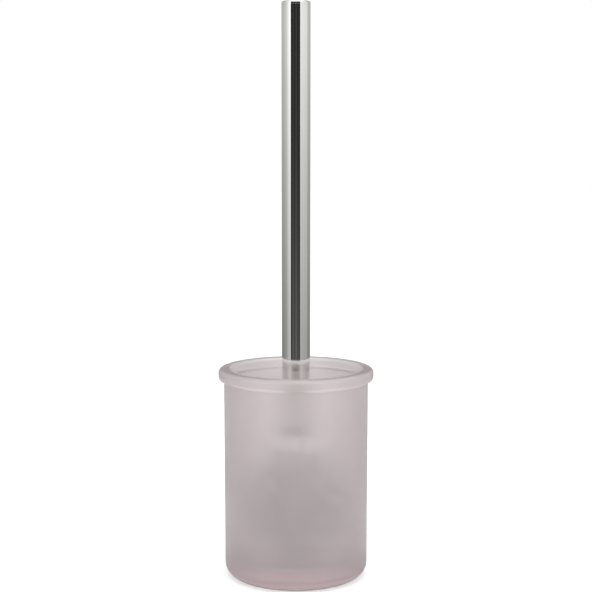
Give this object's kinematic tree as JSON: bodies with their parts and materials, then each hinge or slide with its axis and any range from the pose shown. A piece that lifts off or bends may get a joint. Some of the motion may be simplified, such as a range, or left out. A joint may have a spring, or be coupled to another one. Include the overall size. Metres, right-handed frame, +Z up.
{
  "type": "toilet brush holder with brush",
  "caption": "Free-standing frosted glass tumbler with a rounded lip, holding a lift-out toilet brush with a straight polished round metal handle and a screw-on bristle head.",
  "frame": {"origin": "centre of the tumbler's base, on the floor", "axes": "+Z up along the tumbler and the brush handle, -Y towards the front; the tumbler and handle are round, so X and Y are equivalent"},
  "size_m": [0.1044, 0.1044, 0.385],
  "materials": {
    "frosted_glass": "satin-etched clear glass, translucent, faintly pink-grey",
    "polished_tube": "mirror-polished tube",
    "polished_cap": "mirror-polished cap",
    "plug_nylon": "moulded nylon, dark",
    "stud_steel": "machined stainless steel",
    "washer_rubber": "soft black rubber",
    "core_plastic": "white moulded polypropylene",
    "bristle_nylon": "white nylon filament tufts",
    "anchor_wire": "flat staple wire"
  },
  "bodies": {
    "holder": {"glass_tumbler": "frosted_glass"},
    "brush_head": {"brush_core": "core_plastic", "bristle_row_1": "bristle_nylon", "bristle_row_2": "bristle_nylon", "bristle_row_3": "bristle_nylon", "bristle_row_4": "bristle_nylon", "bristle_row_5": "bristle_nylon", "bristle_row_6": "bristle_nylon", "bristle_end_row": "bristle_nylon", "bristle_end_tuft": "bristle_nylon", "tuft_anchors": "anchor_wire"},
    "seal": {"sealing_washer": "washer_rubber"},
    "handle": {"handle_tube": "polished_tube", "handle_top_cap": "polished_cap", "tube_end_plug": "plug_nylon", "threaded_stud": "stud_steel"}
  },
  "joints": [
    {"name": "brush_lift", "type": "slide", "parent": "holder", "child": "brush_head", "axis": [0, 0, 1], "range_m": [0, 0.16]},
    {"name": "handle_rise", "type": "slide", "parent": "brush_head", "child": "seal", "axis": [0, 0, 1], "range_m": [0, 0.0121]},
    {"name": "handle_unscrew", "type": "hinge", "parent": "seal", "child": "handle", "pos_m": [0, 0, 0.1], "axis": [0, 0, 1], "range_deg": [0, 2880]}
  ],
  "couplings": [
    {"joint": "handle_rise", "follows": "handle_unscrew", "m_per_rad": 0.00023873}
  ]
}
